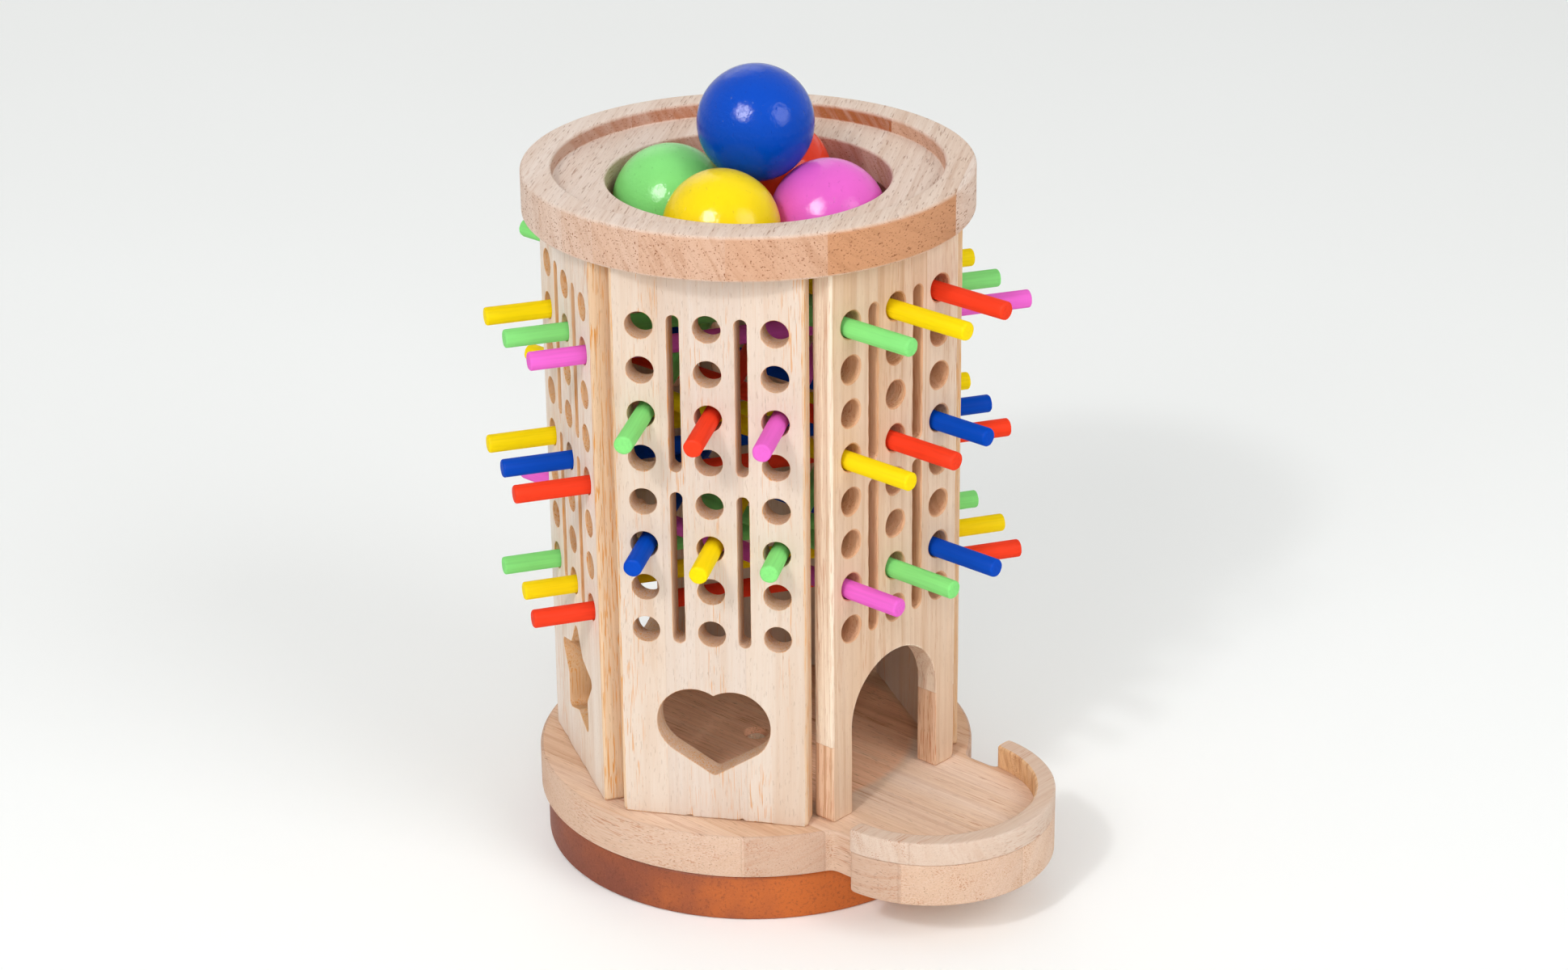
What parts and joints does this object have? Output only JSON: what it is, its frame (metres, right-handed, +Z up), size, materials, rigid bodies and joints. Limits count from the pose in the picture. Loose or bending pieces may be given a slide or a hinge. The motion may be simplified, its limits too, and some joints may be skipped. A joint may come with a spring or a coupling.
{
  "type": "stick balance game",
  "caption": "Hexagonal wooden tower on a turning foot whose coloured cross sticks hold balls in a top hopper and, once drawn out, let them drop to a door and tray.",
  "frame": {"origin": "centre of the underside of the round foot", "axes": "+Z up along the axis that the tower turns about; the door and its tray face -Y at rest"},
  "size_m": [0.1819, 0.2064, 0.2715],
  "materials": {
    "stained_wood": "brown stain under satin varnish",
    "base_wood": "sanded pale wood, unvarnished",
    "pale_wood": "sanded pale wood, unvarnished",
    "panel_wood": "sanded pale wood with orange-brown grain streaks",
    "ring_wood": "sanded pale wood, unvarnished",
    "dowel_wood": "plain beech",
    "white_plastic": "slippery sheet",
    "screw_steel": "zinc-plated steel",
    "green_paint": "satin green paint on wood",
    "yellow_paint": "satin yellow paint on wood",
    "red_paint": "satin red paint on wood",
    "blue_paint": "satin blue paint on wood",
    "pink_paint": "satin pink paint on wood",
    "green_gloss": "glossy green lacquer on wood",
    "yellow_gloss": "glossy yellow lacquer on wood",
    "red_gloss": "glossy red lacquer on wood",
    "blue_gloss": "glossy blue lacquer on wood",
    "pink_gloss": "glossy pink lacquer on wood"
  },
  "bodies": {
    "foot": {"foot": "stained_wood", "glide_disc": "white_plastic", "pivot_screw": "screw_steel"},
    "tower": {"base_plate": "base_wood", "tray_lip": "pale_wood", "door_panel": "panel_wood", "heart_panel": "panel_wood", "star_panel": "panel_wood", "door_back_panel": "panel_wood", "heart_back_panel": "panel_wood", "star_back_panel": "panel_wood", "top_ring": "ring_wood", "base_dowels": "dowel_wood", "ring_dowels": "dowel_wood"},
    "door_stick_row1_left": {"door_stick_row1_left": "green_paint"},
    "door_stick_row1_middle": {"door_stick_row1_middle": "yellow_paint"},
    "door_stick_row1_right": {"door_stick_row1_right": "red_paint"},
    "star_stick_row2_left": {"star_stick_row2_left": "yellow_paint"},
    "star_stick_row2_middle": {"star_stick_row2_middle": "green_paint"},
    "star_stick_row2_right": {"star_stick_row2_right": "pink_paint"},
    "heart_stick_row3_left": {"heart_stick_row3_left": "green_paint"},
    "heart_stick_row3_middle": {"heart_stick_row3_middle": "red_paint"},
    "heart_stick_row3_right": {"heart_stick_row3_right": "pink_paint"},
    "door_stick_row4_left": {"door_stick_row4_left": "yellow_paint"},
    "door_stick_row4_middle": {"door_stick_row4_middle": "red_paint"},
    "door_stick_row4_right": {"door_stick_row4_right": "blue_paint"},
    "star_stick_row5_left": {"star_stick_row5_left": "yellow_paint"},
    "star_stick_row5_middle": {"star_stick_row5_middle": "blue_paint"},
    "star_stick_row5_right": {"star_stick_row5_right": "red_paint"},
    "heart_stick_row6_left": {"heart_stick_row6_left": "blue_paint"},
    "heart_stick_row6_middle": {"heart_stick_row6_middle": "yellow_paint"},
    "heart_stick_row6_right": {"heart_stick_row6_right": "green_paint"},
    "door_stick_row7_left": {"door_stick_row7_left": "pink_paint"},
    "door_stick_row7_middle": {"door_stick_row7_middle": "green_paint"},
    "door_stick_row7_right": {"door_stick_row7_right": "blue_paint"},
    "star_stick_row8_left": {"star_stick_row8_left": "green_paint"},
    "star_stick_row8_middle": {"star_stick_row8_middle": "yellow_paint"},
    "star_stick_row8_right": {"star_stick_row8_right": "red_paint"},
    "ball_red": {"ball_red": "red_gloss"},
    "ball_green": {"ball_green": "green_gloss"},
    "ball_yellow": {"ball_yellow": "yellow_gloss"},
    "ball_pink": {"ball_pink": "pink_gloss"},
    "ball_blue": {"ball_blue": "blue_gloss"}
  },
  "joints": [
    {"name": "tower_turn", "type": "hinge", "parent": "foot", "child": "tower", "pos_m": [0, 0, 0.0172], "axis": [0, 0, 1], "continuous": true},
    {"name": "door_stick_row1_left_slide", "type": "slide", "parent": "tower", "child": "door_stick_row1_left", "axis": [0, -1, 0], "range_m": [-0.1525, 0.1475]},
    {"name": "door_stick_row1_middle_slide", "type": "slide", "parent": "tower", "child": "door_stick_row1_middle", "axis": [0, -1, 0], "range_m": [-0.157, 0.143]},
    {"name": "door_stick_row1_right_slide", "type": "slide", "parent": "tower", "child": "door_stick_row1_right", "axis": [0, -1, 0], "range_m": [-0.155, 0.145]},
    {"name": "star_stick_row2_left_slide", "type": "slide", "parent": "tower", "child": "star_stick_row2_left", "axis": [-0.866, 0.5, 0], "range_m": [-0.149, 0.151]},
    {"name": "star_stick_row2_middle_slide", "type": "slide", "parent": "tower", "child": "star_stick_row2_middle", "axis": [-0.866, 0.5, 0], "range_m": [-0.148, 0.152]},
    {"name": "star_stick_row2_right_slide", "type": "slide", "parent": "tower", "child": "star_stick_row2_right", "axis": [-0.866, 0.5, 0], "range_m": [-0.1455, 0.1545]},
    {"name": "heart_stick_row3_left_slide", "type": "slide", "parent": "tower", "child": "heart_stick_row3_left", "axis": [-0.866, -0.5, 0], "range_m": [-0.1505, 0.1495]},
    {"name": "heart_stick_row3_middle_slide", "type": "slide", "parent": "tower", "child": "heart_stick_row3_middle", "axis": [-0.866, -0.5, 0], "range_m": [-0.149, 0.151]},
    {"name": "heart_stick_row3_right_slide", "type": "slide", "parent": "tower", "child": "heart_stick_row3_right", "axis": [-0.866, -0.5, 0], "range_m": [-0.1485, 0.1515]},
    {"name": "door_stick_row4_left_slide", "type": "slide", "parent": "tower", "child": "door_stick_row4_left", "axis": [0, -1, 0], "range_m": [-0.1525, 0.1475]},
    {"name": "door_stick_row4_middle_slide", "type": "slide", "parent": "tower", "child": "door_stick_row4_middle", "axis": [0, -1, 0], "range_m": [-0.153, 0.147]},
    {"name": "door_stick_row4_right_slide", "type": "slide", "parent": "tower", "child": "door_stick_row4_right", "axis": [0, -1, 0], "range_m": [-0.1485, 0.1515]},
    {"name": "star_stick_row5_left_slide", "type": "slide", "parent": "tower", "child": "star_stick_row5_left", "axis": [-0.866, 0.5, 0], "range_m": [-0.15, 0.15]},
    {"name": "star_stick_row5_middle_slide", "type": "slide", "parent": "tower", "child": "star_stick_row5_middle", "axis": [-0.866, 0.5, 0], "range_m": [-0.1505, 0.1495]},
    {"name": "star_stick_row5_right_slide", "type": "slide", "parent": "tower", "child": "star_stick_row5_right", "axis": [-0.866, 0.5, 0], "range_m": [-0.152, 0.148]},
    {"name": "heart_stick_row6_left_slide", "type": "slide", "parent": "tower", "child": "heart_stick_row6_left", "axis": [-0.866, -0.5, 0], "range_m": [-0.1435, 0.1565]},
    {"name": "heart_stick_row6_middle_slide", "type": "slide", "parent": "tower", "child": "heart_stick_row6_middle", "axis": [-0.866, -0.5, 0], "range_m": [-0.145, 0.155]},
    {"name": "heart_stick_row6_right_slide", "type": "slide", "parent": "tower", "child": "heart_stick_row6_right", "axis": [-0.866, -0.5, 0], "range_m": [-0.14, 0.16]},
    {"name": "door_stick_row7_left_slide", "type": "slide", "parent": "tower", "child": "door_stick_row7_left", "axis": [0, -1, 0], "range_m": [-0.148, 0.152]},
    {"name": "door_stick_row7_middle_slide", "type": "slide", "parent": "tower", "child": "door_stick_row7_middle", "axis": [0, -1, 0], "range_m": [-0.1525, 0.1475]},
    {"name": "door_stick_row7_right_slide", "type": "slide", "parent": "tower", "child": "door_stick_row7_right", "axis": [0, -1, 0], "range_m": [-0.1525, 0.1475]},
    {"name": "star_stick_row8_left_slide", "type": "slide", "parent": "tower", "child": "star_stick_row8_left", "axis": [-0.866, 0.5, 0], "range_m": [-0.1465, 0.1535]},
    {"name": "star_stick_row8_middle_slide", "type": "slide", "parent": "tower", "child": "star_stick_row8_middle", "axis": [-0.866, 0.5, 0], "range_m": [-0.145, 0.155]},
    {"name": "star_stick_row8_right_slide", "type": "slide", "parent": "tower", "child": "star_stick_row8_right", "axis": [-0.866, 0.5, 0], "range_m": [-0.1475, 0.1525]},
    {"name": "ball_red_lift", "type": "slide", "parent": "tower", "child": "ball_red", "axis": [0, 0, 1], "range_m": [0, 0.06]},
    {"name": "ball_green_lift", "type": "slide", "parent": "tower", "child": "ball_green", "axis": [0, 0, 1], "range_m": [0, 0.06]},
    {"name": "ball_yellow_lift", "type": "slide", "parent": "tower", "child": "ball_yellow", "axis": [0, 0, 1], "range_m": [0, 0.06]},
    {"name": "ball_pink_lift", "type": "slide", "parent": "tower", "child": "ball_pink", "axis": [0, 0, 1], "range_m": [0, 0.06]},
    {"name": "ball_blue_lift", "type": "slide", "parent": "tower", "child": "ball_blue", "axis": [0, 0, 1], "range_m": [0, 0.12]}
  ],
  "couplings": [
    {"joint": "ball_red_lift", "follows": "ball_blue_lift", "ratio": 0.5},
    {"joint": "ball_green_lift", "follows": "ball_blue_lift", "ratio": 0.5},
    {"joint": "ball_yellow_lift", "follows": "ball_blue_lift", "ratio": 0.5},
    {"joint": "ball_pink_lift", "follows": "ball_blue_lift", "ratio": 0.5}
  ]
}
